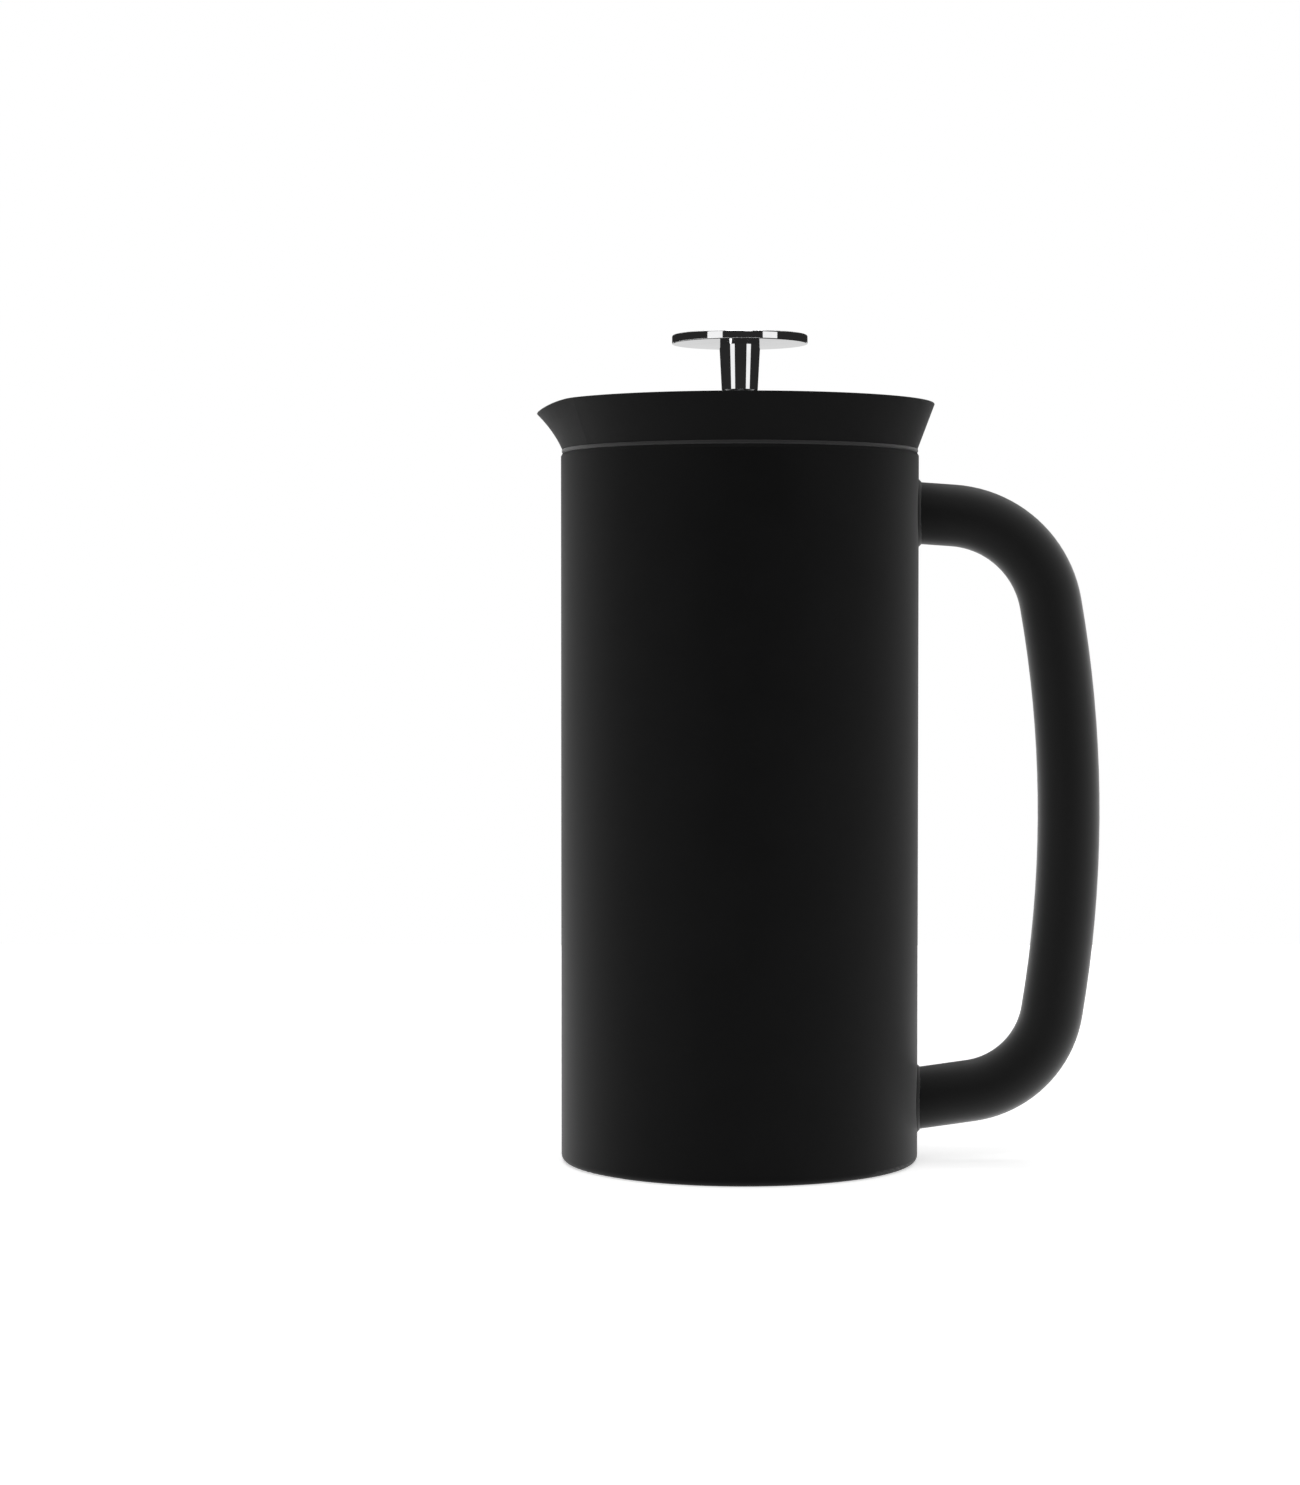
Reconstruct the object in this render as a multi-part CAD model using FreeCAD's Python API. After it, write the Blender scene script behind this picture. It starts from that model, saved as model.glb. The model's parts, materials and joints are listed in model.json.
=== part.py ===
import FreeCAD, Part
import math
import os

# Double-wall steel coffee press with a lid, a plunger rod and two nested filter baskets.
# Millimetres, +Z up. The origin is the centre of the base on the table, the handle points
# along +X and the spout along -X. The plunger is pushed down and the lid is closed.

V = FreeCAD.Vector
ORIGIN = V(0, 0, 0)
UP = V(0, 0, 1)

# ---- steel jug ----
BODY_R = 53.5
SHELL_WALL = 0.8
BASE_EDGE_ROUND = 1.9
BASE_PLATE_R = 46.0
BASE_PLATE_T = 1.2
PORT_CAP_R = 15.0
PORT_CAP_T = 0.8
PORT_R = 2.0
SHOULDER_Z = 211.0
NECK_Z = 212.2
NECK_R = 52.8
BORE_R = 49.0
LINER_WALL = 0.8
LINER_FLOOR_Z = 9.0
LINER_CORNER_R = 6.0
BORE_TOP_Z = 205.0

# ---- flared mouth and spout ----
RIM_Z = 226.6
FLARE_SLOPE = 0.378
FLARE_WALL = 0.95
FLARE_ROOT_Z = NECK_Z + 0.1
FLARE_COLLAR_T = 0.5
FLARE_COLLAR_SPARE = 0.06
FLARE_COLLAR_R = NECK_R + FLARE_SLOPE * FLARE_COLLAR_T + FLARE_COLLAR_SPARE
LIP_ROUND = 0.3
SPOUT_REACH = 3.5
SPOUT_DROP = 2.6
SPOUT_HALF_DEG = 32.0
SPOUT_STEPS = 8

# ---- handle ----
HANDLE_R = 9.25
HANDLE_WALL = 1.2
GRIP_X = 98.9
GRIP_Z = 103.5
GRIP_BOW_R = 362.0
UPPER_LEG = {"z": 194.2, "angle": -4.0, "corner": 32.0, "inward": -1}
LOWER_LEG = {"z": 18.3, "angle": 8.0, "corner": 28.8, "inward": 1}
WELD_LEG = 0.8

# ---- lid, measured from its top ----
LID_TOP = 227.65
FLANGE_Z = LID_TOP - 14.05
FLANGE_R = 52.25
DOME_WALL = 1.6
DOME_R = 46.4
SKIRT_WALL = 1.8
SKIRT_TOP_R = 47.2
SKIRT_LOWER_R = 45.2
SKIRT_FOOT_R = 41.4
SKIRT_FOOT_Z = FLANGE_Z - 28.2
LIP_Z = FLANGE_Z - 10.0
LIP_R = 48.6
FEET_Z = FLANGE_Z - 32.7
SLOT_COUNT = 15
SLOT_PITCH = 3.04
SLOT_WIDTH = 1.95
SLOT_TOP_Z = FLANGE_Z - 4.3
SLOT_ENDS = (FLANGE_Z - 17.8, FLANGE_Z - 21.5, FLANGE_Z - 24.6)
SLOT_LONG_END = FLANGE_Z - 26.1
NUB_X = 26.6
NUB_Z = FLANGE_Z - 25.4
BAFFLE_TAB_Z = FLANGE_Z - 20.9
BAFFLE_WALL = 1.6
GATE_WIDTH_TOP = 38.3
GATE_WIDTH_FOOT = 43.0
GATE_SLIT = 10.8

# ---- guide bush, rod and knob ----
ROD_R = 2.5
ROD_PLAY = 0.06
ROD_SOCKET = 8.0
BUSH_R = 5.0
BUSH_PLAY = 0.05
BUSH_FLANGE_R = 7.0
BUSH_HEAD_R = 6.4
NECK_BASE_Z = LID_TOP + 1.9
KNOB_R = 20.25
KNOB_TOP = 247.2
KNOB_EDGE_T = 2.6
KNOB_SEAT_T = 3.0
KNOB_SEAT_R = 6.5
KNOB_SKIN = 1.0
KNOB_NECK_R = 6.1
KNOB_NECK_FOOT_R = 5.4
STUD_R = 1.6

# ---- filters ----
RIB_COUNT = 10
FLOOR_SPOKES = 5
FLOOR_SPOKE_W = 4.0
FRAME_WALL = 1.8
FLOOR_T = 1.6
FOOT_ROUND = 1.4
MESH_T = 0.3
MESH_INSET = 0.75
INNER_TOP = LID_TOP - 142.65
SEAL_FLANGE_R = 45.6
SEAL_GROOVE_R = 43.4
SEAL_TOP = INNER_TOP - 1.2
SEAL_FOOT = INNER_TOP - 5.9
SEAL_BODY_R = 45.9
SEAL_LIP_R = BORE_R - 0.3
INNER_FLANGE_FOOT = INNER_TOP - 7.6
INNER_COLLAR_R = 41.4
INNER_COLLAR_FOOT = INNER_TOP - 14.2
INNER_BASKET = {
    "top_z": INNER_TOP - 16.2, "top_r": 39.4, "foot_z": INNER_TOP - 54.8, "foot_r": 37.6,
    "window_foot": INNER_TOP - 49.7, "rib_width": 4.2, "rib_start": -13.0,
}
LUG_COUNT = 3
LUG_ANGLE = 23.7
LUG_WIDTH = 6.0
LUG_HEIGHT = 3.1
LUG_R = 43.3
HUB_R = 5.5
HUB_TOP = INNER_TOP - 44.0
THREAD_R = 2.0
THREAD_LENGTH = 7.5
INSERT_R = 3.4

OUTER_TOP = INNER_FLANGE_FOOT - 0.05
OUTER_COLLAR_R = 45.3
OUTER_COLLAR_BORE = 43.6
OUTER_FLANGE_R = 48.3
OUTER_FLANGE_Z = OUTER_TOP - 8.3
OUTER_BASKET = {
    "top_z": OUTER_TOP - 11.9, "top_r": 43.3, "foot_z": OUTER_TOP - 53.5, "foot_r": 40.9,
    "window_foot": OUTER_TOP - 48.5, "rib_width": 3.6, "rib_start": 0.0,
}
CATCH_WIDTH = 9.0


# ---- general helpers ----

def outline(start, *steps):
    """Face in the XZ half plane. A step is a point (radius, z), or a (middle, end) pair for an arc."""
    def at(point):
        return V(point[0], 0, point[1])

    edges = []
    here = start
    for step in steps:
        if isinstance(step[0], tuple):
            middle, end = step
            edges.append(Part.Arc(at(here), at(middle), at(end)).toShape())
        else:
            end = step
            edges.append(Part.LineSegment(at(here), at(end)).toShape())
        here = end
    if here != start:
        edges.append(Part.LineSegment(at(here), at(start)).toShape())
    return Part.Face(Part.Wire(edges))


def turned(start, *steps):
    """Solid of revolution about the vertical axis of the press."""
    return outline(start, *steps).revolve(ORIGIN, UP, 360)


def tube(r_out, r_in, z_low, z_high):
    return turned((r_in, z_low), (r_out, z_low), (r_out, z_high), (r_in, z_high))


def rod(radius, z_low, z_high):
    return Part.makeCylinder(radius, z_high - z_low, V(0, 0, z_low))


def rounded(solid, radius, *rings):
    """Round the circular edges that have these (radius, z) values."""
    chosen = []
    for edge in solid.Edges:
        if not isinstance(edge.Curve, Part.Circle):
            continue
        for ring_r, ring_z in rings:
            if abs(edge.Curve.Radius - ring_r) < 0.01 and abs(edge.Curve.Center.z - ring_z) < 0.01:
                chosen.append(edge)
    return solid.makeFillet(radius, chosen)


def about_axis(solid, angle):
    """Copy of a solid, turned about the vertical axis by an angle in degrees."""
    copy = solid.copy()
    copy.rotate(ORIGIN, UP, angle)
    return copy


def block(size_x, size_y, size_z, centre_x, centre_y, z_low):
    corner = V(centre_x - size_x / 2, centre_y - size_y / 2, z_low)
    return Part.makeBox(size_x, size_y, size_z, corner)


def cone_radius(z, z_a, r_a, z_b, r_b):
    return r_a + (z - z_a) * (r_b - r_a) / (z_b - z_a)


# ---- jug ----

def make_outer_shell():
    lip_r = NECK_R - SHELL_WALL
    shell = turned(
        (BASE_PLATE_R, 0), (BODY_R, 0), (BODY_R, SHOULDER_Z), (NECK_R, NECK_Z), (lip_r, NECK_Z),
        (lip_r, 209.8), (BODY_R - SHELL_WALL, 208.4), (BODY_R - SHELL_WALL, SHELL_WALL),
        (BASE_PLATE_R, SHELL_WALL),
    )
    shell = rounded(shell, BASE_EDGE_ROUND, (BODY_R, 0))
    return rounded(shell, BASE_EDGE_ROUND - SHELL_WALL, (BODY_R - SHELL_WALL, SHELL_WALL))


def flare_section(angle):
    """Closed section of the flared mouth in the half plane at an angle, in degrees from the spout."""
    share = 0.0
    if abs(angle) < SPOUT_HALF_DEG:
        share = math.cos(math.radians(90 * angle / SPOUT_HALF_DEG)) ** 2
    top = RIM_Z - LIP_ROUND - SPOUT_DROP * share
    heading = math.radians(180 + angle)

    def at(radius, z):
        return V(radius * math.cos(heading), radius * math.sin(heading), z)

    def wall(inset):
        points = []
        for step in range(4):
            t = step / 3
            z = FLARE_ROOT_Z + t * (top - FLARE_ROOT_Z)
            radius = NECK_R + FLARE_SLOPE * (z - NECK_Z) + SPOUT_REACH * share * t * t
            points.append(at(radius - inset, z))
        return points

    def edge_through(points):
        if share == 0:
            return Part.LineSegment(points[0], points[-1]).toShape()
        curve = Part.BSplineCurve()
        curve.interpolate(points)
        return curve.toShape()

    outer = wall(0)
    inner = wall(FLARE_WALL)[::-1]
    across = (inner[0] - outer[-1]).normalize() * LIP_ROUND
    up = UP * LIP_ROUND
    bend = 1 - math.sqrt(0.5)
    outer_crown = outer[-1] + across + up
    inner_crown = inner[0] - across + up
    return Part.Wire([
        edge_through(outer),
        Part.Arc(outer[-1], outer_crown - across * (1 - bend) - up * bend, outer_crown).toShape(),
        Part.LineSegment(outer_crown, inner_crown).toShape(),
        Part.Arc(inner_crown, inner_crown + across * (1 - bend) - up * bend, inner[0]).toShape(),
        edge_through(inner),
        Part.LineSegment(inner[-1], outer[0]).toShape(),
    ])


def make_flared_mouth():
    plain = Part.Face(flare_section(SPOUT_HALF_DEG)).revolve(ORIGIN, UP, 360 - 2 * SPOUT_HALF_DEG)
    step = 2 * SPOUT_HALF_DEG / SPOUT_STEPS
    sections = [flare_section(-SPOUT_HALF_DEG + i * step) for i in range(SPOUT_STEPS + 1)]
    spout = Part.makeLoft(sections, True)
    return plain.fuse(spout)


def make_inner_vessel():
    liner_r = BORE_R + LINER_WALL
    land_r = NECK_R - SHELL_WALL
    collar_z = NECK_Z + FLARE_COLLAR_T
    collar_bore = FLARE_COLLAR_R - FLARE_WALL - 2 * FLARE_COLLAR_SPARE
    floor_top = LINER_FLOOR_Z + LINER_WALL
    liner = turned(
        (0, LINER_FLOOR_Z), (liner_r, LINER_FLOOR_Z), (liner_r, BORE_TOP_Z), (land_r, 209.6),
        (land_r, NECK_Z), (FLARE_COLLAR_R, NECK_Z), (FLARE_COLLAR_R, collar_z),
        (collar_bore, collar_z), (land_r - LINER_WALL, 210.2),
        (BORE_R, BORE_TOP_Z), (BORE_R, floor_top), (0, floor_top),
    )
    liner = rounded(liner, LINER_CORNER_R, (liner_r, LINER_FLOOR_Z))
    liner = rounded(liner, LINER_CORNER_R - LINER_WALL, (BORE_R, floor_top))
    return liner.fuse(make_flared_mouth()).removeSplitter()


def make_base_plate():
    plate = rod(BASE_PLATE_R, 0, BASE_PLATE_T)
    plate = plate.cut(rod(PORT_CAP_R, 0, PORT_CAP_T))
    return plate.cut(rod(PORT_R, 0, BASE_PLATE_T))


def make_port_cap():
    return rod(PORT_CAP_R, 0, PORT_CAP_T)


def make_getter_capsule():
    capsule = Part.makeCylinder(5.0, 3.0, V(26.0, 0, BASE_PLATE_T))
    return capsule.makeFillet(0.8, [max(capsule.Edges, key=lambda edge: edge.CenterOfMass.z)])


def make_neck_weld():
    """Bead that stands on the collar and the shell's shoulder, just clear of the flare above."""
    shoulder_slope = (BODY_R - NECK_R) / (NECK_Z - SHOULDER_Z)
    below = 0.25
    above = 0.8
    clear = 0.04
    collar_z = NECK_Z + FLARE_COLLAR_T
    return turned(
        (NECK_R, NECK_Z), (FLARE_COLLAR_R, NECK_Z), (FLARE_COLLAR_R, collar_z),
        (NECK_R + FLARE_SLOPE * FLARE_COLLAR_T + clear, collar_z),
        (NECK_R + FLARE_SLOPE * above + clear, NECK_Z + above),
        ((NECK_R + 0.46, NECK_Z + 0.2), (NECK_R + below * shoulder_slope, NECK_Z - below)),
    )


# ---- handle ----

def leg_line(leg):
    """Start point at the body wall and outward direction of one handle leg, in the XZ plane."""
    angle = math.radians(leg["angle"])
    return V(BODY_R, 0, leg["z"]), V(math.cos(angle), 0, math.sin(angle))


def handle_corner(leg):
    """Where the leg ends, the middle of its corner arc, and where the bowed grip begins."""
    start, along = leg_line(leg)
    across = V(-along.z, 0, along.x) * leg["inward"]
    grip_centre = V(GRIP_X - GRIP_BOW_R, 0, GRIP_Z)
    reach = GRIP_BOW_R - leg["corner"]
    offset = start + across * leg["corner"] - grip_centre
    travel = -offset.dot(along) + math.sqrt(offset.dot(along) ** 2 - offset.dot(offset) + reach ** 2)
    leg_end = start + along * travel
    centre = leg_end + across * leg["corner"]
    grip_end = grip_centre + (centre - grip_centre) * (GRIP_BOW_R / reach)
    bisector = (leg_end - centre).normalize() + (grip_end - centre).normalize()
    return leg_end, centre + bisector.normalize() * leg["corner"], grip_end


def handle_path():
    upper_end, upper_middle, upper_grip = handle_corner(UPPER_LEG)
    lower_end, lower_middle, lower_grip = handle_corner(LOWER_LEG)
    upper_start, upper_along = leg_line(UPPER_LEG)
    lower_start, lower_along = leg_line(LOWER_LEG)
    root_depth = 4.0
    return Part.Wire([
        Part.LineSegment(upper_start - upper_along * root_depth, upper_end).toShape(),
        Part.Arc(upper_end, upper_middle, upper_grip).toShape(),
        Part.Arc(upper_grip, V(GRIP_X, 0, GRIP_Z), lower_grip).toShape(),
        Part.Arc(lower_grip, lower_middle, lower_end).toShape(),
        Part.LineSegment(lower_end, lower_start - lower_along * root_depth).toShape(),
    ])


def handle_bar(radius):
    """Solid bar of round section along the whole handle path."""
    path = handle_path()
    along = leg_line(UPPER_LEG)[1]
    circle = Part.Wire(Part.makeCircle(radius, path.Vertexes[0].Point, along))
    return path.makePipeShell([circle], True, True)


def make_handle():
    bar = handle_bar(HANDLE_R).cut(handle_bar(HANDLE_R - HANDLE_WALL))
    return bar.cut(rod(BODY_R, -10, 260))


def make_handle_weld(leg):
    """Fillet bead of even height in the corner between the tube and the curved body wall."""
    start, along = leg_line(leg)
    crest_r = BODY_R + WELD_LEG
    sleeve = Part.makeCylinder(HANDLE_R + WELD_LEG, 10.0, start - along * 5.0, along)
    bead = sleeve.common(rod(crest_r, -10, 260)).cut(rod(BODY_R, -10, 260)).cut(handle_bar(HANDLE_R))

    def is_crest(edge):
        middle = edge.valueAt((edge.FirstParameter + edge.LastParameter) / 2)
        off_tube = (middle - start).cross(along).Length
        return math.hypot(middle.x, middle.y) > crest_r - 0.01 and off_tube > HANDLE_R + WELD_LEG - 0.01

    return bead.makeChamfer(WELD_LEG * 0.8, [edge for edge in bead.Edges if is_crest(edge)])


# ---- rod guide and lid ----

def make_rod_guide_bush():
    bore = ROD_R + ROD_PLAY
    foot = FLANGE_Z - 5.0
    return turned(
        (bore, foot), (BUSH_FLANGE_R, foot), (BUSH_FLANGE_R, foot + 1.4), (BUSH_R, foot + 1.4),
        (BUSH_R, LID_TOP - 1.0), (BUSH_HEAD_R, LID_TOP - 1.0), (BUSH_HEAD_R, LID_TOP), (bore, LID_TOP),
    )


def make_lid_dome():
    hole = BUSH_R + BUSH_PLAY
    seat = BUSH_HEAD_R + BUSH_PLAY
    edge_z = FLANGE_Z + 4.6
    crown_z = FLANGE_Z + 12.4
    boss_z = LID_TOP - 0.15
    seat_z = LID_TOP - 1.0 - BUSH_PLAY
    dome = turned(
        (hole, crown_z - DOME_WALL), (14.0, crown_z - DOME_WALL),
        ((32.0, FLANGE_Z + 8.6), (DOME_R - DOME_WALL, edge_z)),
        (DOME_R, edge_z),
        ((45.0, FLANGE_Z + 6.7), (42.0, FLANGE_Z + 8.2)),
        ((29.0, FLANGE_Z + 11.0), (14.5, crown_z)),
        (12.0, boss_z), (seat, boss_z), (seat, seat_z), (hole, seat_z),
    )
    return rounded(dome, 0.5, (12.0, boss_z))


def skirt_wall_r(z):
    """Outer radius of the skirt below its sealing lip."""
    return cone_radius(z, LIP_Z, SKIRT_LOWER_R, SKIRT_FOOT_Z, SKIRT_FOOT_R)


def slot_cutter(x, z_low, z_high):
    """Round-ended slot, open towards -Y."""
    radius = SLOT_WIDTH / 2
    low = z_low + radius
    high = z_high - radius
    face = outline(
        (x - radius, low), ((x, z_low), (x + radius, low)),
        (x + radius, high), ((x, z_high), (x - radius, high)),
    )
    return face.extrude(V(0, -60, 0))


def slot_end(index):
    """Lower end of a slot: the outermost slots on each side are stepped shorter."""
    from_side = min(index, SLOT_COUNT - 1 - index)
    return SLOT_ENDS[from_side] if from_side < len(SLOT_ENDS) else SLOT_LONG_END


def make_lid_skirt():
    rim_z = FLANGE_Z + 4.6
    lip_half = 0.5
    skirt = turned(
        (DOME_R - 2.6, rim_z), (DOME_R, rim_z), (DOME_R + 0.5, rim_z - 0.5),
        (FLANGE_R - 0.2, FLANGE_Z + 0.3), (FLANGE_R, FLANGE_Z), (FLANGE_R - 0.4, FLANGE_Z - 0.5),
        (SKIRT_TOP_R + 0.6, FLANGE_Z - 3.2), (SKIRT_TOP_R, FLANGE_Z - 4.0),
        (SKIRT_TOP_R, LIP_Z + 1.4), (LIP_R - 0.2, LIP_Z + lip_half), (LIP_R, LIP_Z),
        (LIP_R - 0.3, LIP_Z - lip_half), (SKIRT_LOWER_R, LIP_Z - 2.4),
        (SKIRT_FOOT_R, SKIRT_FOOT_Z + 1.2), (SKIRT_FOOT_R - 0.8, SKIRT_FOOT_Z),
        (SKIRT_FOOT_R - SKIRT_WALL, SKIRT_FOOT_Z),
        (SKIRT_LOWER_R - SKIRT_WALL, LIP_Z - 2.4), (SKIRT_TOP_R - SKIRT_WALL, LIP_Z + 1.4),
        (SKIRT_TOP_R - SKIRT_WALL, FLANGE_Z),
    )
    middle = (SLOT_COUNT - 1) / 2
    cutters = []
    for index in range(SLOT_COUNT):
        x = (index - middle) * SLOT_PITCH
        cutters.append(slot_cutter(x, LIP_Z + 1.6, SLOT_TOP_Z))
        cutters.append(slot_cutter(x, slot_end(index), LIP_Z - 2.6))
    skirt = skirt.cut(cutters[0].multiFuse(cutters[1:]))
    return skirt.multiFuse([make_nub(side, skirt) for side in (-1, 1)])


def make_nub(side, skirt):
    """Small round nub with a dimple, low on the front of the skirt."""
    wall_r = skirt_wall_r(NUB_Z)
    depth_y = math.sqrt(wall_r ** 2 - NUB_X ** 2)
    heading = V(side * NUB_X, -depth_y, 0).normalize()
    root = V(side * NUB_X, -depth_y, NUB_Z) - heading * 1.0
    nub = Part.makeCylinder(1.35, 1.5, root, heading)
    dimple = Part.makeCylinder(0.7, 0.4, root + heading * 1.2, heading)
    return nub.cut(dimple).cut(skirt)


def make_lid_inner_plate():
    hole = BUSH_R + BUSH_PLAY
    boss_r = 8.0
    plate_z = FLANGE_Z - 3.5
    dome_underside = FLANGE_Z + 12.4 - DOME_WALL
    return turned(
        (hole, plate_z), (SKIRT_TOP_R - SKIRT_WALL, plate_z), (SKIRT_TOP_R - SKIRT_WALL, plate_z + 1.6),
        (boss_r, plate_z + 1.6), (boss_r, dome_underside), (hole, dome_underside),
    )


def make_lid_baffle(skirt):
    def inner_r(z):
        return cone_radius(z, LIP_Z - 2.4, SKIRT_LOWER_R - SKIRT_WALL,
                           SKIRT_FOOT_Z, SKIRT_FOOT_R - SKIRT_WALL)

    foot_r = inner_r(SKIRT_FOOT_Z) - 0.8
    ring = turned(
        (foot_r - BAFFLE_WALL, FEET_Z), (foot_r, FEET_Z), (inner_r(SKIRT_FOOT_Z), SKIRT_FOOT_Z),
        (inner_r(BAFFLE_TAB_Z), BAFFLE_TAB_Z), (inner_r(BAFFLE_TAB_Z) - BAFFLE_WALL, BAFFLE_TAB_Z),
        (inner_r(SKIRT_FOOT_Z) - BAFFLE_WALL, SKIRT_FOOT_Z),
    )
    front = 60.0
    ring_top = SKIRT_FOOT_Z + 1.6
    upper = BAFFLE_TAB_Z - ring_top
    above_ring = block(4 * front, 4 * front, upper, 0, 0, ring_top)
    tab_reach = 15.5
    tabs = block(2 * tab_reach, front, upper, 0, -front / 2, ring_top)
    ring = ring.cut(above_ring.cut(tabs))
    ring = ring.cut(block(GATE_SLIT, front, BAFFLE_TAB_Z - SKIRT_FOOT_Z, 0, -front / 2, SKIRT_FOOT_Z))
    gate = Part.Face(Part.makePolygon([
        V(-GATE_WIDTH_FOOT / 2, 0, FEET_Z), V(GATE_WIDTH_FOOT / 2, 0, FEET_Z),
        V(GATE_WIDTH_TOP / 2, 0, SKIRT_FOOT_Z), V(-GATE_WIDTH_TOP / 2, 0, SKIRT_FOOT_Z),
        V(-GATE_WIDTH_FOOT / 2, 0, FEET_Z),
    ])).extrude(V(0, -front, 0))
    return ring.cut(gate).cut(skirt)


# ---- plunger ----

def make_knob_cap():
    """Flat disc. Its underside falls a little towards the neck, and the stud goes into a blind hole."""
    edge_z = KNOB_TOP - KNOB_EDGE_T
    seat_z = KNOB_TOP - KNOB_SEAT_T
    cap = turned((0, KNOB_TOP), (0, seat_z), (KNOB_SEAT_R, seat_z), (KNOB_R, edge_z), (KNOB_R, KNOB_TOP))
    cap = rounded(cap, 0.5, (KNOB_R, KNOB_TOP))
    cap = rounded(cap, 0.25, (KNOB_R, edge_z))
    return cap.cut(rod(STUD_R, seat_z, KNOB_TOP - KNOB_SKIN))


def make_knob_neck():
    top = KNOB_TOP - KNOB_SEAT_T
    socket_top = NECK_BASE_Z + ROD_SOCKET
    neck = turned(
        (0, NECK_BASE_Z), (ROD_R + 0.4, NECK_BASE_Z), (KNOB_NECK_FOOT_R, NECK_BASE_Z + 1.4),
        (KNOB_NECK_R, top), (0, top))
    return neck.cut(rod(ROD_R, NECK_BASE_Z, socket_top)).cut(rod(STUD_R, socket_top, top))


def make_knob_stud():
    return rod(STUD_R, NECK_BASE_Z + ROD_SOCKET, KNOB_TOP - KNOB_SKIN)


def make_plunger_rod():
    bar = rod(ROD_R, HUB_TOP + 0.02, NECK_BASE_Z + ROD_SOCKET)
    return bar.fuse(rod(THREAD_R, HUB_TOP - THREAD_LENGTH, HUB_TOP + 0.02))


# ---- filter baskets: a collar, ribs, a floor, and mesh between them ----

def spokes(count, width, start):
    """Tall radial bars of constant width. The first one points to -Y, turned by the start angle."""
    bar = block(width, 70, 120, 0, -35, 0)
    bars = [about_axis(bar, start + 360 * i / count) for i in range(count)]
    return bars[0].multiFuse(bars[1:])


def rib_bars(basket):
    return spokes(RIB_COUNT, basket["rib_width"], basket["rib_start"])


def wall_r(basket, z):
    """Outer radius of a basket's conical wall."""
    return cone_radius(z, basket["foot_z"], basket["foot_r"], basket["top_z"], basket["top_r"])


def wall_band(basket, z_high, z_low, inset=0.0, thickness=FRAME_WALL):
    """Conical ring in a basket's wall."""
    high_r = wall_r(basket, z_high) - inset
    low_r = wall_r(basket, z_low) - inset
    return turned(
        (high_r - thickness, z_high), (high_r, z_high), (low_r, z_low), (low_r - thickness, z_low))


def make_ribs(basket):
    return wall_band(basket, basket["top_z"], basket["window_foot"]).common(rib_bars(basket))


def make_side_mesh(basket):
    skin = wall_band(basket, basket["top_z"], basket["window_foot"], MESH_INSET, MESH_T)
    return skin.cut(rib_bars(basket))


def floor_openings(basket):
    """The volume between the spokes of a basket's floor, as separate wedges."""
    foot = basket["foot_z"]
    ring = tube(basket["foot_r"] - FRAME_WALL - 2.0, HUB_R, foot, foot + FLOOR_T)
    return ring.cut(spokes(FLOOR_SPOKES, FLOOR_SPOKE_W, 18.0))


def make_floor(basket):
    """Spoked floor with the low band of wall under the windows."""
    foot = basket["foot_z"]
    inside_r = basket["foot_r"] - FRAME_WALL
    window_r = wall_r(basket, basket["window_foot"])
    dish = turned(
        (0, foot), (basket["foot_r"], foot), (window_r, basket["window_foot"]),
        (window_r - FRAME_WALL, basket["window_foot"]), (inside_r, foot + FLOOR_T), (0, foot + FLOOR_T),
    )
    return rounded(dish, FOOT_ROUND, (basket["foot_r"], foot)).cut(floor_openings(basket))


def make_floor_mesh(basket):
    mesh_z = basket["foot_z"] + MESH_INSET
    return rod(60, mesh_z, mesh_z + MESH_T).common(floor_openings(basket))


def make_inner_collar():
    top_z = INNER_BASKET["top_z"]
    wall = INNER_BASKET["top_r"]
    mouth = SEAL_GROOVE_R - FRAME_WALL
    throat = INNER_COLLAR_R - FRAME_WALL
    collar = turned(
        (wall - FRAME_WALL, top_z), (wall, top_z), (INNER_COLLAR_R, INNER_COLLAR_FOOT),
        (INNER_COLLAR_R, INNER_FLANGE_FOOT), (SEAL_FLANGE_R - 0.5, INNER_FLANGE_FOOT),
        (SEAL_FLANGE_R, SEAL_FOOT - 0.6), (SEAL_FLANGE_R, SEAL_FOOT), (SEAL_GROOVE_R, SEAL_FOOT),
        (SEAL_GROOVE_R, SEAL_TOP), (SEAL_FLANGE_R, SEAL_TOP), (SEAL_FLANGE_R - 1.4, INNER_TOP),
        (mouth, INNER_TOP), (mouth, SEAL_FOOT), (throat, INNER_FLANGE_FOOT),
        (throat, INNER_COLLAR_FOOT),
    )
    return collar.multiFuse([make_lug(LUG_ANGLE + 360 * i / LUG_COUNT) for i in range(LUG_COUNT)])


def make_lug(angle):
    """Bayonet lug: a rounded bar that stands out of the collar."""
    z = (INNER_FLANGE_FOOT + INNER_COLLAR_FOOT) / 2 - LUG_HEIGHT / 2
    root_r = INNER_COLLAR_R - 0.8
    lug = block(LUG_WIDTH, LUG_R - root_r, LUG_HEIGHT, 0, -(LUG_R + root_r) / 2, z)
    corners = [edge for edge in lug.Edges if abs(edge.Vertexes[0].Y - edge.Vertexes[-1].Y) > 0.5]
    lug = lug.makeFillet(LUG_HEIGHT / 2 - 0.1, corners)
    return about_axis(lug, angle)


def make_inner_floor():
    hub = rod(HUB_R, INNER_BASKET["foot_z"], HUB_TOP)
    pocket = rod(INSERT_R, HUB_TOP - THREAD_LENGTH - 0.5, HUB_TOP)
    return make_floor(INNER_BASKET).fuse(hub).removeSplitter().cut(pocket)


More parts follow.
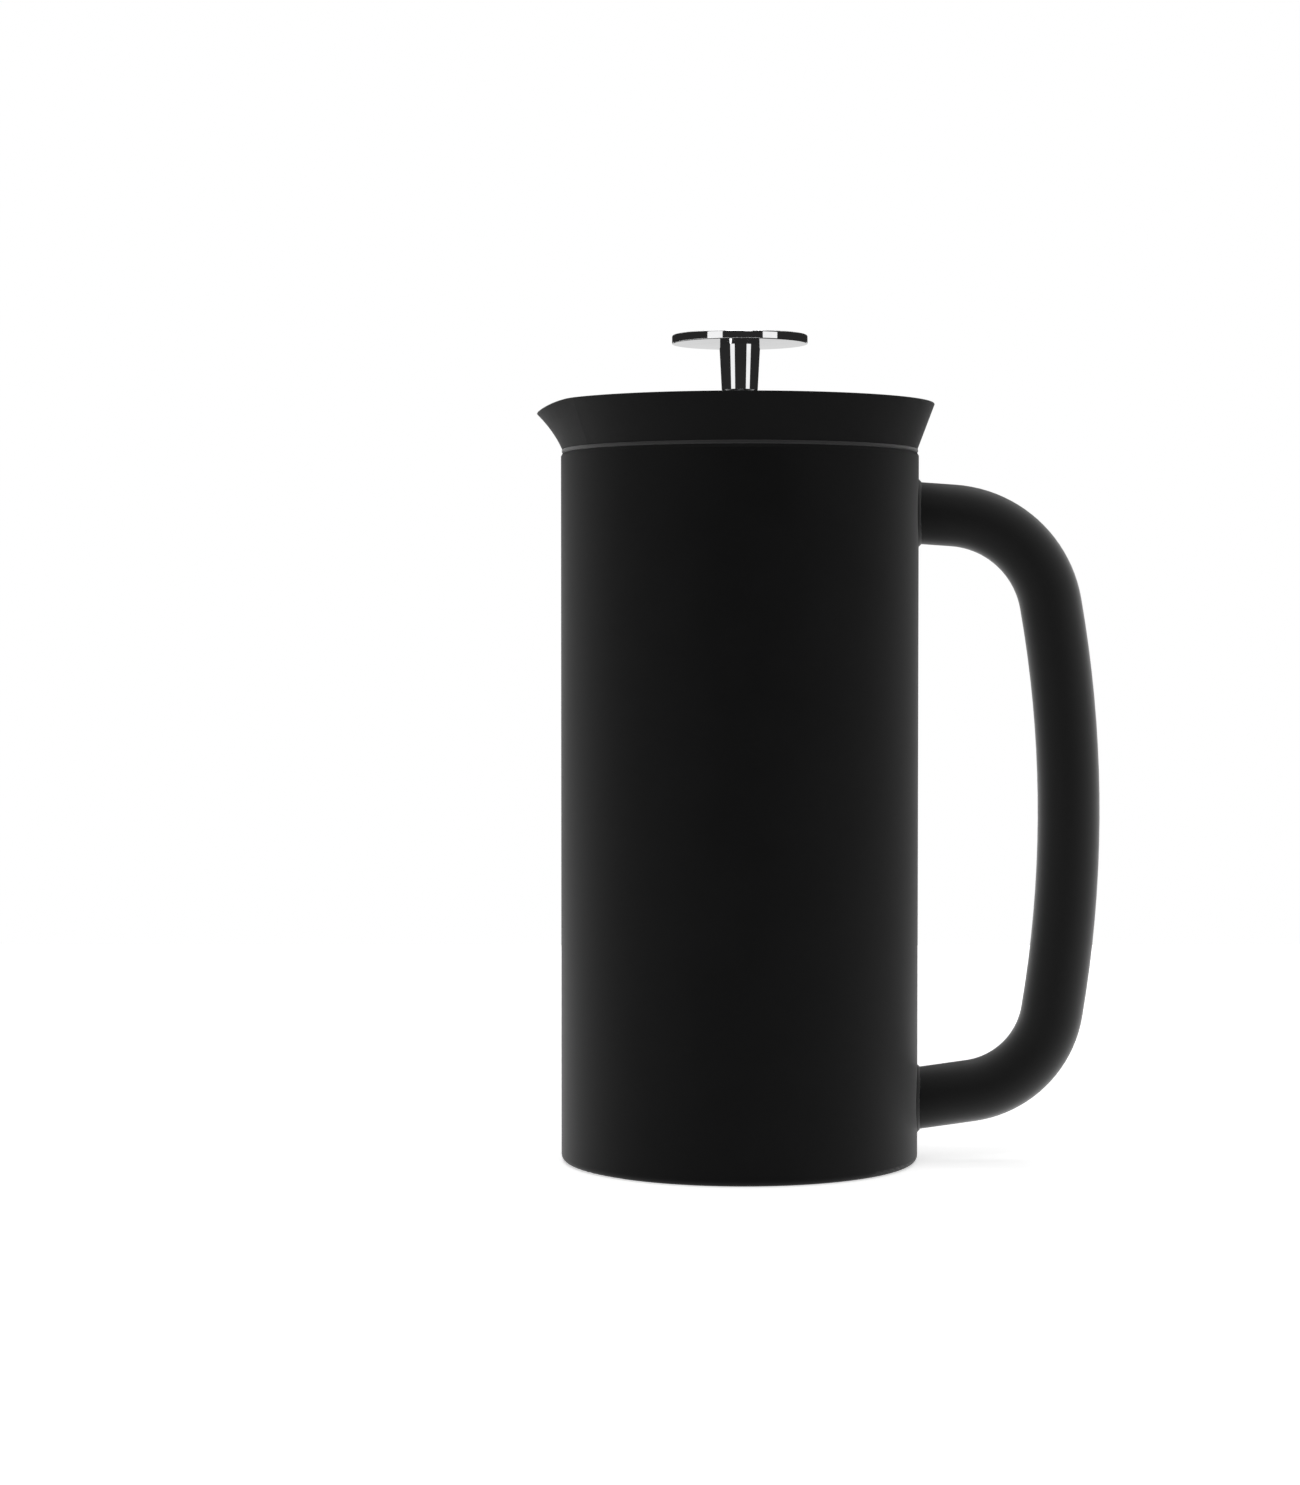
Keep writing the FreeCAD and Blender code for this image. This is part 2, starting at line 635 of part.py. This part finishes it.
def make_hub_insert():
    return tube(INSERT_R, THREAD_R + 0.05, HUB_TOP - THREAD_LENGTH - 0.5, HUB_TOP)


def make_wiper_seal():
    """Ring in the collar's groove, with two thin lips that point at the bore."""
    lip_root = SEAL_BODY_R - 0.5
    upper = SEAL_TOP - 0.5
    lower = SEAL_FOOT + 0.2
    lip = 0.9
    return turned(
        (SEAL_GROOVE_R, SEAL_FOOT), (lip_root, SEAL_FOOT), (SEAL_LIP_R - 0.2, lower),
        (SEAL_LIP_R, lower + lip / 2), (SEAL_LIP_R - 0.2, lower + lip), (SEAL_BODY_R, lower + lip + 0.2),
        (SEAL_BODY_R - 0.3, (upper + lower) / 2), (SEAL_BODY_R, upper - lip - 0.2),
        (SEAL_LIP_R - 0.2, upper - lip), (SEAL_LIP_R, upper - lip / 2), (SEAL_LIP_R - 0.2, upper),
        (lip_root, SEAL_TOP), (SEAL_GROOVE_R, SEAL_TOP),
    )


def make_outer_collar():
    top_z = OUTER_BASKET["top_z"]
    wall = OUTER_BASKET["top_r"]
    bore = wall - FRAME_WALL
    flange_z = OUTER_FLANGE_Z
    collar = turned(
        (bore, top_z), (wall, top_z), ((wall + 0.9, OUTER_TOP - 10.2), (OUTER_COLLAR_R, flange_z - 1.3)),
        (OUTER_FLANGE_R - 0.3, flange_z - 0.6), (OUTER_FLANGE_R, flange_z),
        (OUTER_FLANGE_R - 0.3, flange_z + 0.5), (OUTER_COLLAR_R, flange_z + 1.1),
        (OUTER_COLLAR_R, OUTER_TOP), (OUTER_COLLAR_BORE, OUTER_TOP),
        (OUTER_COLLAR_BORE, flange_z - 0.6), (bore, flange_z - 2.6),
    )
    return collar.multiFuse([make_catch(LUG_ANGLE + 360 * i / LUG_COUNT) for i in range(LUG_COUNT)])


def make_catch(angle):
    """Inward ledge in the collar that hangs on a bayonet lug until the basket is turned."""
    z_high = OUTER_TOP - 0.2
    z_low = z_high - 1.4
    ledge = tube(OUTER_COLLAR_BORE + 0.3, INNER_COLLAR_R + 0.3, z_low, z_high)
    sector = block(CATCH_WIDTH, 60, 10, 0, -30, z_low - 4)
    return about_axis(ledge.common(sector), angle)


# ---- all nodes ----

def build():
    skirt = make_lid_skirt()
    return {
        "outer_shell": make_outer_shell(),
        "inner_vessel": make_inner_vessel(),
        "base_plate": make_base_plate(),
        "port_cap": make_port_cap(),
        "getter_capsule": make_getter_capsule(),
        "neck_weld": make_neck_weld(),
        "handle": make_handle(),
        "upper_handle_weld": make_handle_weld(UPPER_LEG),
        "lower_handle_weld": make_handle_weld(LOWER_LEG),
        "rod_guide_bush": make_rod_guide_bush(),
        "lid_dome": make_lid_dome(),
        "lid_skirt": skirt,
        "lid_inner_plate": make_lid_inner_plate(),
        "lid_baffle": make_lid_baffle(skirt),
        "knob_cap": make_knob_cap(),
        "knob_neck": make_knob_neck(),
        "knob_stud": make_knob_stud(),
        "plunger_rod": make_plunger_rod(),
        "inner_filter_collar": make_inner_collar(),
        "inner_filter_ribs": make_ribs(INNER_BASKET),
        "inner_filter_floor": make_inner_floor(),
        "inner_side_mesh": make_side_mesh(INNER_BASKET),
        "inner_floor_mesh": make_floor_mesh(INNER_BASKET),
        "wiper_seal": make_wiper_seal(),
        "hub_insert": make_hub_insert(),
        "outer_filter_collar": make_outer_collar(),
        "outer_filter_ribs": make_ribs(OUTER_BASKET),
        "outer_filter_floor": make_floor(OUTER_BASKET),
        "outer_side_mesh": make_side_mesh(OUTER_BASKET),
        "outer_floor_mesh": make_floor_mesh(OUTER_BASKET),
    }


def main():
    os.makedirs("parts", exist_ok=True)
    for name, shape in build().items():
        shape.exportStep(f"parts/{name}.step")
        box = shape.BoundBox
        print(f"{name}: {len(shape.Solids)} solid(s), {shape.Volume:.1f} mm3, valid {shape.isValid()}, "
              f"z {box.ZMin:.2f} to {box.ZMax:.2f}")


main()
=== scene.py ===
"""Looks for the french press: materials, fine mesh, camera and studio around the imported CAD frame."""

import json
import math

import bmesh
import bpy
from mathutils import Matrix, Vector, noise


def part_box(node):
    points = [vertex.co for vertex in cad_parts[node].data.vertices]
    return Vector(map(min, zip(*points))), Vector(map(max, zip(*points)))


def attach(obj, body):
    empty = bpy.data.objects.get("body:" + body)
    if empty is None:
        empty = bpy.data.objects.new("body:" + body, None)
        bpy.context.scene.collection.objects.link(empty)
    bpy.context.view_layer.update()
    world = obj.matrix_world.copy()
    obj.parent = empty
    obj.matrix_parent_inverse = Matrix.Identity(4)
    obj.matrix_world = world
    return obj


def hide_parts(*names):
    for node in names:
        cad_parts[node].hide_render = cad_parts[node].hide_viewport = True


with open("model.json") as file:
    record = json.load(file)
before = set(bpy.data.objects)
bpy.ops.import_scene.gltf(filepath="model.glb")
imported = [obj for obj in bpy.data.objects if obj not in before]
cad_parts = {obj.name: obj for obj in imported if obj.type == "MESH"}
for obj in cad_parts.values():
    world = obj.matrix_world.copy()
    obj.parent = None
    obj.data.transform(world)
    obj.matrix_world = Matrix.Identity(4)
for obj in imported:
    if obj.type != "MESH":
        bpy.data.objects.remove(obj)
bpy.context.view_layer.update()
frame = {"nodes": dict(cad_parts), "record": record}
NODES = frame["nodes"]


# ---- node helpers ----

def new_material(name):
    """A material with one Principled shader. Returns the material, its node tree and the shader."""
    material = bpy.data.materials.new(name)
    material.use_nodes = True
    tree = material.node_tree
    tree.nodes.clear()
    output = tree.nodes.new("ShaderNodeOutputMaterial")
    shader = tree.nodes.new("ShaderNodeBsdfPrincipled")
    tree.links.new(shader.outputs["BSDF"], output.inputs["Surface"])
    return material, tree, shader


def noise_node(tree, scale, detail, roughness, stretch=(1, 1, 1)):
    """Noise over the object's own coordinates, in metres, optionally stretched along an axis."""
    coordinates = tree.nodes.new("ShaderNodeTexCoord")
    mapping = tree.nodes.new("ShaderNodeMapping")
    mapping.inputs["Scale"].default_value = stretch
    texture = tree.nodes.new("ShaderNodeTexNoise")
    texture.inputs["Scale"].default_value = scale
    texture.inputs["Detail"].default_value = detail
    texture.inputs["Roughness"].default_value = roughness
    tree.links.new(coordinates.outputs["Object"], mapping.inputs["Vector"])
    tree.links.new(mapping.outputs["Vector"], texture.inputs["Vector"])
    return texture.outputs["Fac"]


def mapped(tree, value, low, high):
    """A 0..1 value spread over another range."""
    node = tree.nodes.new("ShaderNodeMapRange")
    node.inputs["To Min"].default_value = low
    node.inputs["To Max"].default_value = high
    tree.links.new(value, node.inputs["Value"])
    return node.outputs["Result"]


def two_colours(tree, value, dark, light):
    """A 0..1 value turned into colours: dark up to 0.3, light from 0.7, blended between them."""
    ramp = tree.nodes.new("ShaderNodeValToRGB")
    ramp.color_ramp.elements[0].position = 0.3
    ramp.color_ramp.elements[0].color = (*dark, 1)
    ramp.color_ramp.elements[1].position = 0.7
    ramp.color_ramp.elements[1].color = (*light, 1)
    tree.links.new(value, ramp.inputs["Fac"])
    return ramp.outputs["Color"]


def bump(tree, shader, height, distance, strength):
    """Fine relief on a shader, distance in metres."""
    node = tree.nodes.new("ShaderNodeBump")
    node.inputs["Distance"].default_value = distance
    node.inputs["Strength"].default_value = strength
    tree.links.new(height, node.inputs["Height"])
    tree.links.new(node.outputs["Normal"], shader.inputs["Normal"])


# ---- materials ----

THREAD_SCALE = 1100     # of a wave texture over metres: one thread every 0.29 mm


def powder_coat(name, tone, specular, sheen):
    """Matt black powder coat: fine orange peel, barely uneven tone and gloss. Tone is its darkest grey."""
    material, tree, shader = new_material(name)
    cloud = noise_node(tree, scale=55, detail=4, roughness=0.55)
    grain = noise_node(tree, scale=2600, detail=2, roughness=0.5)
    # black with a trace of blue
    dark = (tone, tone, tone * 1.05)
    light = (tone * 1.5, tone * 1.5, tone * 1.56)
    tree.links.new(two_colours(tree, cloud, dark, light), shader.inputs["Base Color"])
    tree.links.new(mapped(tree, cloud, low=0.44, high=0.52), shader.inputs["Roughness"])
    shader.inputs["Specular IOR Level"].default_value = specular
    shader.inputs["Sheen Weight"].default_value = sheen
    shader.inputs["Sheen Roughness"].default_value = 0.5
    bump(tree, shader, grain, distance=0.00002, strength=0.55)
    return material


def gloss_black():
    """Glossy black moulding with faint flow in its surface."""
    material, tree, shader = new_material("gloss_black_moulding")
    flow = noise_node(tree, scale=22, detail=2, roughness=0.4)
    tree.links.new(two_colours(tree, flow, dark=(0.006, 0.006, 0.0065), light=(0.011, 0.011, 0.012)),
                   shader.inputs["Base Color"])
    tree.links.new(mapped(tree, flow, low=0.06, high=0.12), shader.inputs["Roughness"])
    shader.inputs["Specular IOR Level"].default_value = 0.5
    bump(tree, shader, flow, distance=0.0004, strength=0.05)
    return material


def satin_black():
    """Satin black moulded plastic with spark-eroded grain."""
    material, tree, shader = new_material("satin_black_moulding")
    tone = noise_node(tree, scale=90, detail=3, roughness=0.5)
    grain = noise_node(tree, scale=3200, detail=2, roughness=0.5)
    tree.links.new(two_colours(tree, tone, dark=(0.0045, 0.0045, 0.005), light=(0.008, 0.008, 0.0085)),
                   shader.inputs["Base Color"])
    tree.links.new(mapped(tree, tone, low=0.2, high=0.3), shader.inputs["Roughness"])
    shader.inputs["Specular IOR Level"].default_value = 0.35
    bump(tree, shader, grain, distance=0.00001, strength=0.3)
    return material


def chrome():
    """Mirror chrome with a trace of polishing haze."""
    material, tree, shader = new_material("mirror_chrome")
    haze = noise_node(tree, scale=160, detail=4, roughness=0.6)
    tree.links.new(two_colours(tree, haze, dark=(0.74, 0.745, 0.75), light=(0.82, 0.825, 0.83)),
                   shader.inputs["Base Color"])
    tree.links.new(mapped(tree, haze, low=0.015, high=0.045), shader.inputs["Roughness"])
    shader.inputs["Metallic"].default_value = 1.0
    return material


def brushed_steel():
    """Steel with fine lines brushed round the jug."""
    material, tree, shader = new_material("brushed_liner_steel")
    lines = noise_node(tree, scale=30, detail=5, roughness=0.7, stretch=(1, 1, 90))
    tree.links.new(two_colours(tree, lines, dark=(0.42, 0.42, 0.425), light=(0.6, 0.6, 0.6)),
                   shader.inputs["Base Color"])
    tree.links.new(mapped(tree, lines, low=0.22, high=0.4), shader.inputs["Roughness"])
    shader.inputs["Metallic"].default_value = 1.0
    bump(tree, shader, lines, distance=0.00005, strength=0.35)
    return material


def silicone():
    """Grey silicone with a soft, slightly dusty surface."""
    material, tree, shader = new_material("grey_silicone")
    tone = noise_node(tree, scale=140, detail=4, roughness=0.6)
    tree.links.new(two_colours(tree, tone, dark=(0.25, 0.25, 0.255), light=(0.33, 0.33, 0.335)),
                   shader.inputs["Base Color"])
    tree.links.new(mapped(tree, tone, low=0.42, high=0.55), shader.inputs["Roughness"])
    shader.inputs["Subsurface Weight"].default_value = 0.08
    shader.inputs["Subsurface Radius"].default_value = (0.002, 0.002, 0.002)
    grain = noise_node(tree, scale=2400, detail=2, roughness=0.5)
    bump(tree, shader, grain, distance=0.00001, strength=0.3)
    return material


def brass():
    """Brass with fine lines turned round it."""
    material, tree, shader = new_material("turned_brass")
    lines = noise_node(tree, scale=40, detail=4, roughness=0.6, stretch=(1, 1, 60))
    tree.links.new(two_colours(tree, lines, dark=(0.5, 0.34, 0.12), light=(0.66, 0.48, 0.2)),
                   shader.inputs["Base Color"])
    tree.links.new(mapped(tree, lines, low=0.22, high=0.34), shader.inputs["Roughness"])
    shader.inputs["Metallic"].default_value = 1.0
    return material


def micro_mesh():
    """Very fine woven mesh: two crossed sets of threads over the piece's own UV map, in metres."""
    material, tree, shader = new_material("woven_micro_mesh")
    uv = tree.nodes.new("ShaderNodeTexCoord")
    threads = []
    for direction in ("X", "Y"):
        wave = tree.nodes.new("ShaderNodeTexWave")
        wave.wave_type = "BANDS"
        wave.bands_direction = direction
        wave.inputs["Scale"].default_value = THREAD_SCALE
        tree.links.new(uv.outputs["UV"], wave.inputs["Vector"])
        threads.append(wave.outputs["Fac"])
    weave = tree.nodes.new("ShaderNodeMath")
    weave.operation = "MAXIMUM"
    tree.links.new(threads[0], weave.inputs[0])
    tree.links.new(threads[1], weave.inputs[1])
    cloud = noise_node(tree, scale=70, detail=3, roughness=0.5)
    tree.links.new(two_colours(tree, cloud, dark=(0.82, 0.825, 0.83), light=(0.95, 0.955, 0.96)),
                   shader.inputs["Base Color"])
    tree.links.new(mapped(tree, cloud, low=0.38, high=0.55), shader.inputs["Roughness"])
    shader.inputs["Metallic"].default_value = 0.05
    bump(tree, shader, weave.outputs["Value"], distance=0.00006, strength=0.5)
    return material


BODY_COAT = powder_coat("powder_coat_black", tone=0.0018, specular=0.03, sheen=0.18)
# handle copy of the same coat, darker and with far more sheen: painted shade in the grip's middle and
# painted sheen along its edges
HANDLE_PAINTED_LIGHT_COAT = powder_coat("powder_coat_handle_painted_light", tone=0.001, specular=0.02, sheen=0.65)
# seam copy of the same coat, lighter and with more sheen: a painted highlight where the shoulder's chamfer
# catches the light
SEAM_PAINTED_HIGHLIGHT_COAT = powder_coat("powder_coat_seam_painted_highlight", tone=0.006, specular=0.12, sheen=0.7)
MATERIALS = {
    "powder_coat": BODY_COAT,
    "gloss_black": gloss_black(),
    "satin_black": satin_black(),
    "chrome": chrome(),
    "liner_steel": brushed_steel(),
    "silicone_grey": silicone(),
    "brass_insert": brass(),
    "filter_mesh": micro_mesh(),
}


# ---- CAD nodes ----

SEAM_SLACK = 0.00001    # takes in the faces that lie level with the shell's top edge


def dress_cad_nodes():
    """Give every CAD node the material of its slot.

    Handle and seam get copies of the coat with painted light: sheen and shade on the handle, a highlight on
    the seam. The liner is coated above the shell."""
    for part in frame["record"]["subparts"]:
        node = NODES[part["node"]]
        node.data.materials.clear()
        node.data.materials.append(MATERIALS[part["material_slot"]])
    # handle and its welds get the handle copy of the coat, with its painted sheen and shade
    for name in ("handle", "upper_handle_weld", "lower_handle_weld"):
        NODES[name].data.materials[0] = HANDLE_PAINTED_LIGHT_COAT
    # the neck weld gets the lighter copy of the coat, a painted highlight along the seam
    NODES["neck_weld"].data.materials[0] = SEAM_PAINTED_HIGHLIGHT_COAT
    vessel = NODES["inner_vessel"].data
    vessel.materials.append(BODY_COAT)
    shell_top_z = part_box("outer_shell")[1][2]
    for face in vessel.polygons:
        if face.center.z > shell_top_z - SEAM_SLACK:
            face.material_index = 1


# ---- fine mesh, moulded into the windows of the filters ----
# Lengths are in metres. Places round a filter are in degrees from its front, -Y.

MESH_T = 0.00012
WAVE = 0.00042                  # height of the waves in the mesh
FADE = 0.0035                   # how far from a bar they reach their full height
SIDE_WAVES = (0.0075, 0.026)    # their length round a basket and up its wall
FLOOR_WAVES = (0.009, 0.012)    # their length along x and y
SIDE_GRID = (40, 480)           # rows and columns of faces
FLOOR_GRID = (28, 200)
SIDE_INSET = 0.00015            # from the outside of the CAD mesh node
TUCK = 0.0004                   # how far the edge runs on into the moulding
RIB_COUNT = 10
INNER_FIRST_RIB, INNER_RIB_W = -13, 0.0042
OUTER_FIRST_RIB, OUTER_RIB_W = 0, 0.0036
SPOKE_COUNT = 5
FIRST_SPOKE, SPOKE_W = 18, 0.004
HUB_R = 0.0055


def ring_of(node, pick):
    """Height and outer radius of a CAD node's lowest (min) or highest (max) ring."""
    points = [vertex.co for vertex in NODES[node].data.vertices]
    z = pick(point.z for point in points)
    return z, max(math.hypot(point.x, point.y) for point in points if abs(point.z - z) < 0.0001)


def from_front(degrees):
    """Angle from +X, in radians, of a place given in degrees from the front."""
    return math.radians(degrees - 90)


def freedom(distance):
    """How freely the mesh can wave: 0 where it is held, 1 from FADE away."""
    share = min(1.0, max(0.0, distance / FADE))
    return share * share * (3 - 2 * share)


def bar_distance(radius, angle, first, count, width):
    """Distance from the nearest of a ring of radial bars."""
    pitch = 2 * math.pi / count
    offset = (angle - first + pitch / 2) % pitch - pitch / 2
    return radius * abs(math.sin(offset)) - width / 2


def closed_band(name, node, body, grid_size, place):
    """Thin mesh ring that rides on a body and stands for a CAD node.

    place(row share, angle) returns a point and its flat coordinates along and across, in metres."""
    rows, columns = grid_size
    mesh = bpy.data.meshes.new(name)
    piece = bpy.data.objects.new(name, mesh)
    bpy.context.scene.collection.objects.link(piece)
    shape = bmesh.new()
    flat = shape.loops.layers.uv.new("UVMap")
    turn = 2 * math.pi / columns
    grid = [[place(row / rows, column * turn) for column in range(columns + 1)] for row in range(rows + 1)]
    corners = [[shape.verts.new(line[column][0]) for column in range(columns)] for line in grid]
    for row in range(rows):
        for column in range(columns):
            after = (column + 1) % columns
            face = shape.faces.new((corners[row][column], corners[row][after],
                                    corners[row + 1][after], corners[row + 1][column]))
            face.smooth = True
            spots = (grid[row][column], grid[row][column + 1],
                     grid[row + 1][column + 1], grid[row + 1][column])
            for loop, spot in zip(face.loops, spots):
                loop[flat].uv = spot[1]
    shape.to_mesh(mesh)
    shape.free()
    mesh.materials.append(MATERIALS["filter_mesh"])
    thickness = piece.modifiers.new("thickness", "SOLIDIFY")
    thickness.thickness = MESH_T
    thickness.offset = 0
    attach(piece, body)
    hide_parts(node)


def make_side_cloth(body, node, first_rib, rib_width, seed):
    """Mesh in the wall of a basket: it runs on through the ribs and waves a little between them."""
    low_z, low_r = ring_of(node, min)
    top_z, top_r = ring_of(node, max)
    first = from_front(first_rib)
    middle_r = (low_r + top_r) / 2

    def place(share, angle):
        z = low_z - TUCK + share * (top_z - low_z + 2 * TUCK)
        radius = low_r + (top_r - low_r) * (z - low_z) / (top_z - low_z) - SIDE_INSET
        held = freedom(bar_distance(radius, angle, first, RIB_COUNT, rib_width))
        held *= freedom(z - low_z) * freedom(top_z - z)
        ripple = noise.noise(Vector((math.cos(angle) * middle_r / SIDE_WAVES[0],
                                     math.sin(angle) * middle_r / SIDE_WAVES[0], z / SIDE_WAVES[1] + seed)))
        radius += WAVE * held * ripple
        return (radius * math.cos(angle), radius * math.sin(angle), z), (middle_r * angle, z)

    closed_band(body + "_side_weave", node, body, SIDE_GRID, place)


def make_floor_cloth(body, node, seed):
    """Mesh in the floor of a basket, from the hub out, running on through the spokes."""
    z = (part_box(node)[0][2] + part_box(node)[1][2]) / 2
    out_r = ring_of(node, max)[1]
    first = from_front(FIRST_SPOKE)

    def place(share, angle):
        radius = HUB_R - TUCK + share * (out_r - HUB_R + 2 * TUCK)
        held = freedom(bar_distance(radius, angle, first, SPOKE_COUNT, SPOKE_W))
        held *= freedom(radius - HUB_R) * freedom(out_r - radius)
        x, y = radius * math.cos(angle), radius * math.sin(angle)
        ripple = noise.noise(Vector((x / FLOOR_WAVES[0], y / FLOOR_WAVES[1], seed)))
        return (x, y, z + WAVE * held * ripple), (x, y)

    closed_band(body + "_floor_weave", node, body, FLOOR_GRID, place)


dress_cad_nodes()
make_side_cloth("inner_filter", "inner_side_mesh", INNER_FIRST_RIB, INNER_RIB_W, seed=3.1)
make_side_cloth("outer_filter", "outer_side_mesh", OUTER_FIRST_RIB, OUTER_RIB_W, seed=7.7)
make_floor_cloth("inner_filter", "inner_floor_mesh", seed=1.3)
make_floor_cloth("outer_filter", "outer_floor_mesh", seed=5.9)


# ---- studio ----

LIGHTS_AIM = Vector((0, 0, 0.15))
FLOOR_X = (-0.9, 0.35)
FLOOR_Y = (-0.65, 0.7)
FLOOR_DROP = 0.0001
FLOOR_GLOW_FROM = (0.3, 0.62)   # distance from the press, strength
FLOOR_GLOW_TO = (0.9, 1.0)
SURROUND_LIGHT = 0.025


def softbox(name, azimuth, distance, height, size, radiance):
    """Rectangular light aimed at the press, unseen by the camera.

    Azimuth is in degrees from the camera's side towards +X. Radiance is in watts per square metre
    and steradian."""
    angle = math.radians(azimuth)
    location = Vector((math.sin(angle) * distance, -math.cos(angle) * distance, height))
    light = bpy.data.lights.new(name, "AREA")
    light.shape = "RECTANGLE"
    light.size, light.size_y = size
    light.energy = radiance * math.pi * size[0] * size[1]
    lamp = bpy.data.objects.new(name, light)
    lamp.location = location
    lamp.rotation_euler = (LIGHTS_AIM - location).to_track_quat("-Z", "Y").to_euler()
    lamp.visible_camera = False
    bpy.context.scene.collection.objects.link(lamp)


def make_floor():
    """White floor. It glows a little, so that it stays white away from the lights."""
    mesh = bpy.data.meshes.new("studio_floor")
    floor = bpy.data.objects.new("studio_floor", mesh)
    bpy.context.scene.collection.objects.link(floor)
    shape = bmesh.new()
    corners = [(0, 0), (1, 0), (1, 1), (0, 1)]
    shape.faces.new([shape.verts.new((FLOOR_X[i], FLOOR_Y[j], 0)) for i, j in corners])
    shape.to_mesh(mesh)
    shape.free()
    floor.location = (0, 0, -FLOOR_DROP)
    material, tree, shader = new_material("studio_floor_white")
    shader.inputs["Base Color"].default_value = (0.85, 0.85, 0.85, 1)
    shader.inputs["Roughness"].default_value = 0.9
    shader.inputs["Specular IOR Level"].default_value = 0.0
    shader.inputs["Emission Color"].default_value = (1, 1, 1, 1)
    coordinates = tree.nodes.new("ShaderNodeTexCoord")
    distance = tree.nodes.new("ShaderNodeVectorMath")
    distance.operation = "LENGTH"
    glow = tree.nodes.new("ShaderNodeMapRange")
    glow.inputs["From Min"].default_value, glow.inputs["To Min"].default_value = FLOOR_GLOW_FROM
    glow.inputs["From Max"].default_value, glow.inputs["To Max"].default_value = FLOOR_GLOW_TO
    tree.links.new(coordinates.outputs["Object"], distance.inputs[0])
    tree.links.new(distance.outputs["Value"], glow.inputs["Value"])
    tree.links.new(glow.outputs["Result"], shader.inputs["Emission Strength"])
    mesh.materials.append(material)


def make_world():
    """Even surround: dim in the light it gives, white where it is seen directly."""
    world = bpy.data.worlds.new("studio")
    bpy.context.scene.world = world
    world.use_nodes = True
    tree = world.node_tree
    tree.nodes.clear()
    output = tree.nodes.new("ShaderNodeOutputWorld")
    mix = tree.nodes.new("ShaderNodeMixShader")
    rays = tree.nodes.new("ShaderNodeLightPath")
    glow = tree.nodes.new("ShaderNodeBackground")
    glow.inputs["Strength"].default_value = SURROUND_LIGHT
    seen = tree.nodes.new("ShaderNodeBackground")
    seen.inputs["Strength"].default_value = 1.0
    for background in (glow, seen):
        background.inputs["Color"].default_value = (1, 1, 1, 1)
    tree.links.new(rays.outputs["Is Camera Ray"], mix.inputs["Fac"])
    tree.links.new(glow.outputs["Background"], mix.inputs[1])
    tree.links.new(seen.outputs["Background"], mix.inputs[2])
    tree.links.new(mix.outputs["Shader"], output.inputs["Surface"])


make_floor()
make_world()
softbox("front_left_softbox", azimuth=-44, distance=1.2, height=0.42, size=(0.58, 0.95), radiance=1.1)
softbox("front_right_softbox", azimuth=51, distance=1.2, height=0.42, size=(0.58, 0.95), radiance=1.1)
softbox("back_softbox", azimuth=180, distance=1.6, height=1.7, size=(1.8, 1.0), radiance=0.8)
softbox("low_back_card", azimuth=180, distance=1.5, height=0.12, size=(1.6, 0.26), radiance=0.7)
softbox("high_front_softbox", azimuth=0, distance=1.1, height=1.35, size=(1.2, 0.7), radiance=3.0)
softbox("top_softbox", azimuth=180, distance=0.3, height=1.7, size=(1.6, 1.6), radiance=2.0)


# ---- camera ----

CAMERA_PLACE = (-0.02685, -1.005, 0.157)
CAMERA_DOWN_DEG = 1.8


def make_camera():
    """Level with the upper half of the jug, looking along +Y and slightly down."""
    data = bpy.data.cameras.new("camera")
    data.lens = 81.2
    data.sensor_width = 36.0
    data.clip_start = 0.05
    data.clip_end = 40.0
    camera = bpy.data.objects.new("camera", data)
    camera.location = CAMERA_PLACE
    camera.rotation_euler = (math.radians(90 - CAMERA_DOWN_DEG), 0, 0)
    bpy.context.scene.collection.objects.link(camera)
    bpy.context.scene.camera = camera


make_camera()
bpy.context.scene.view_settings.view_transform = "Standard"
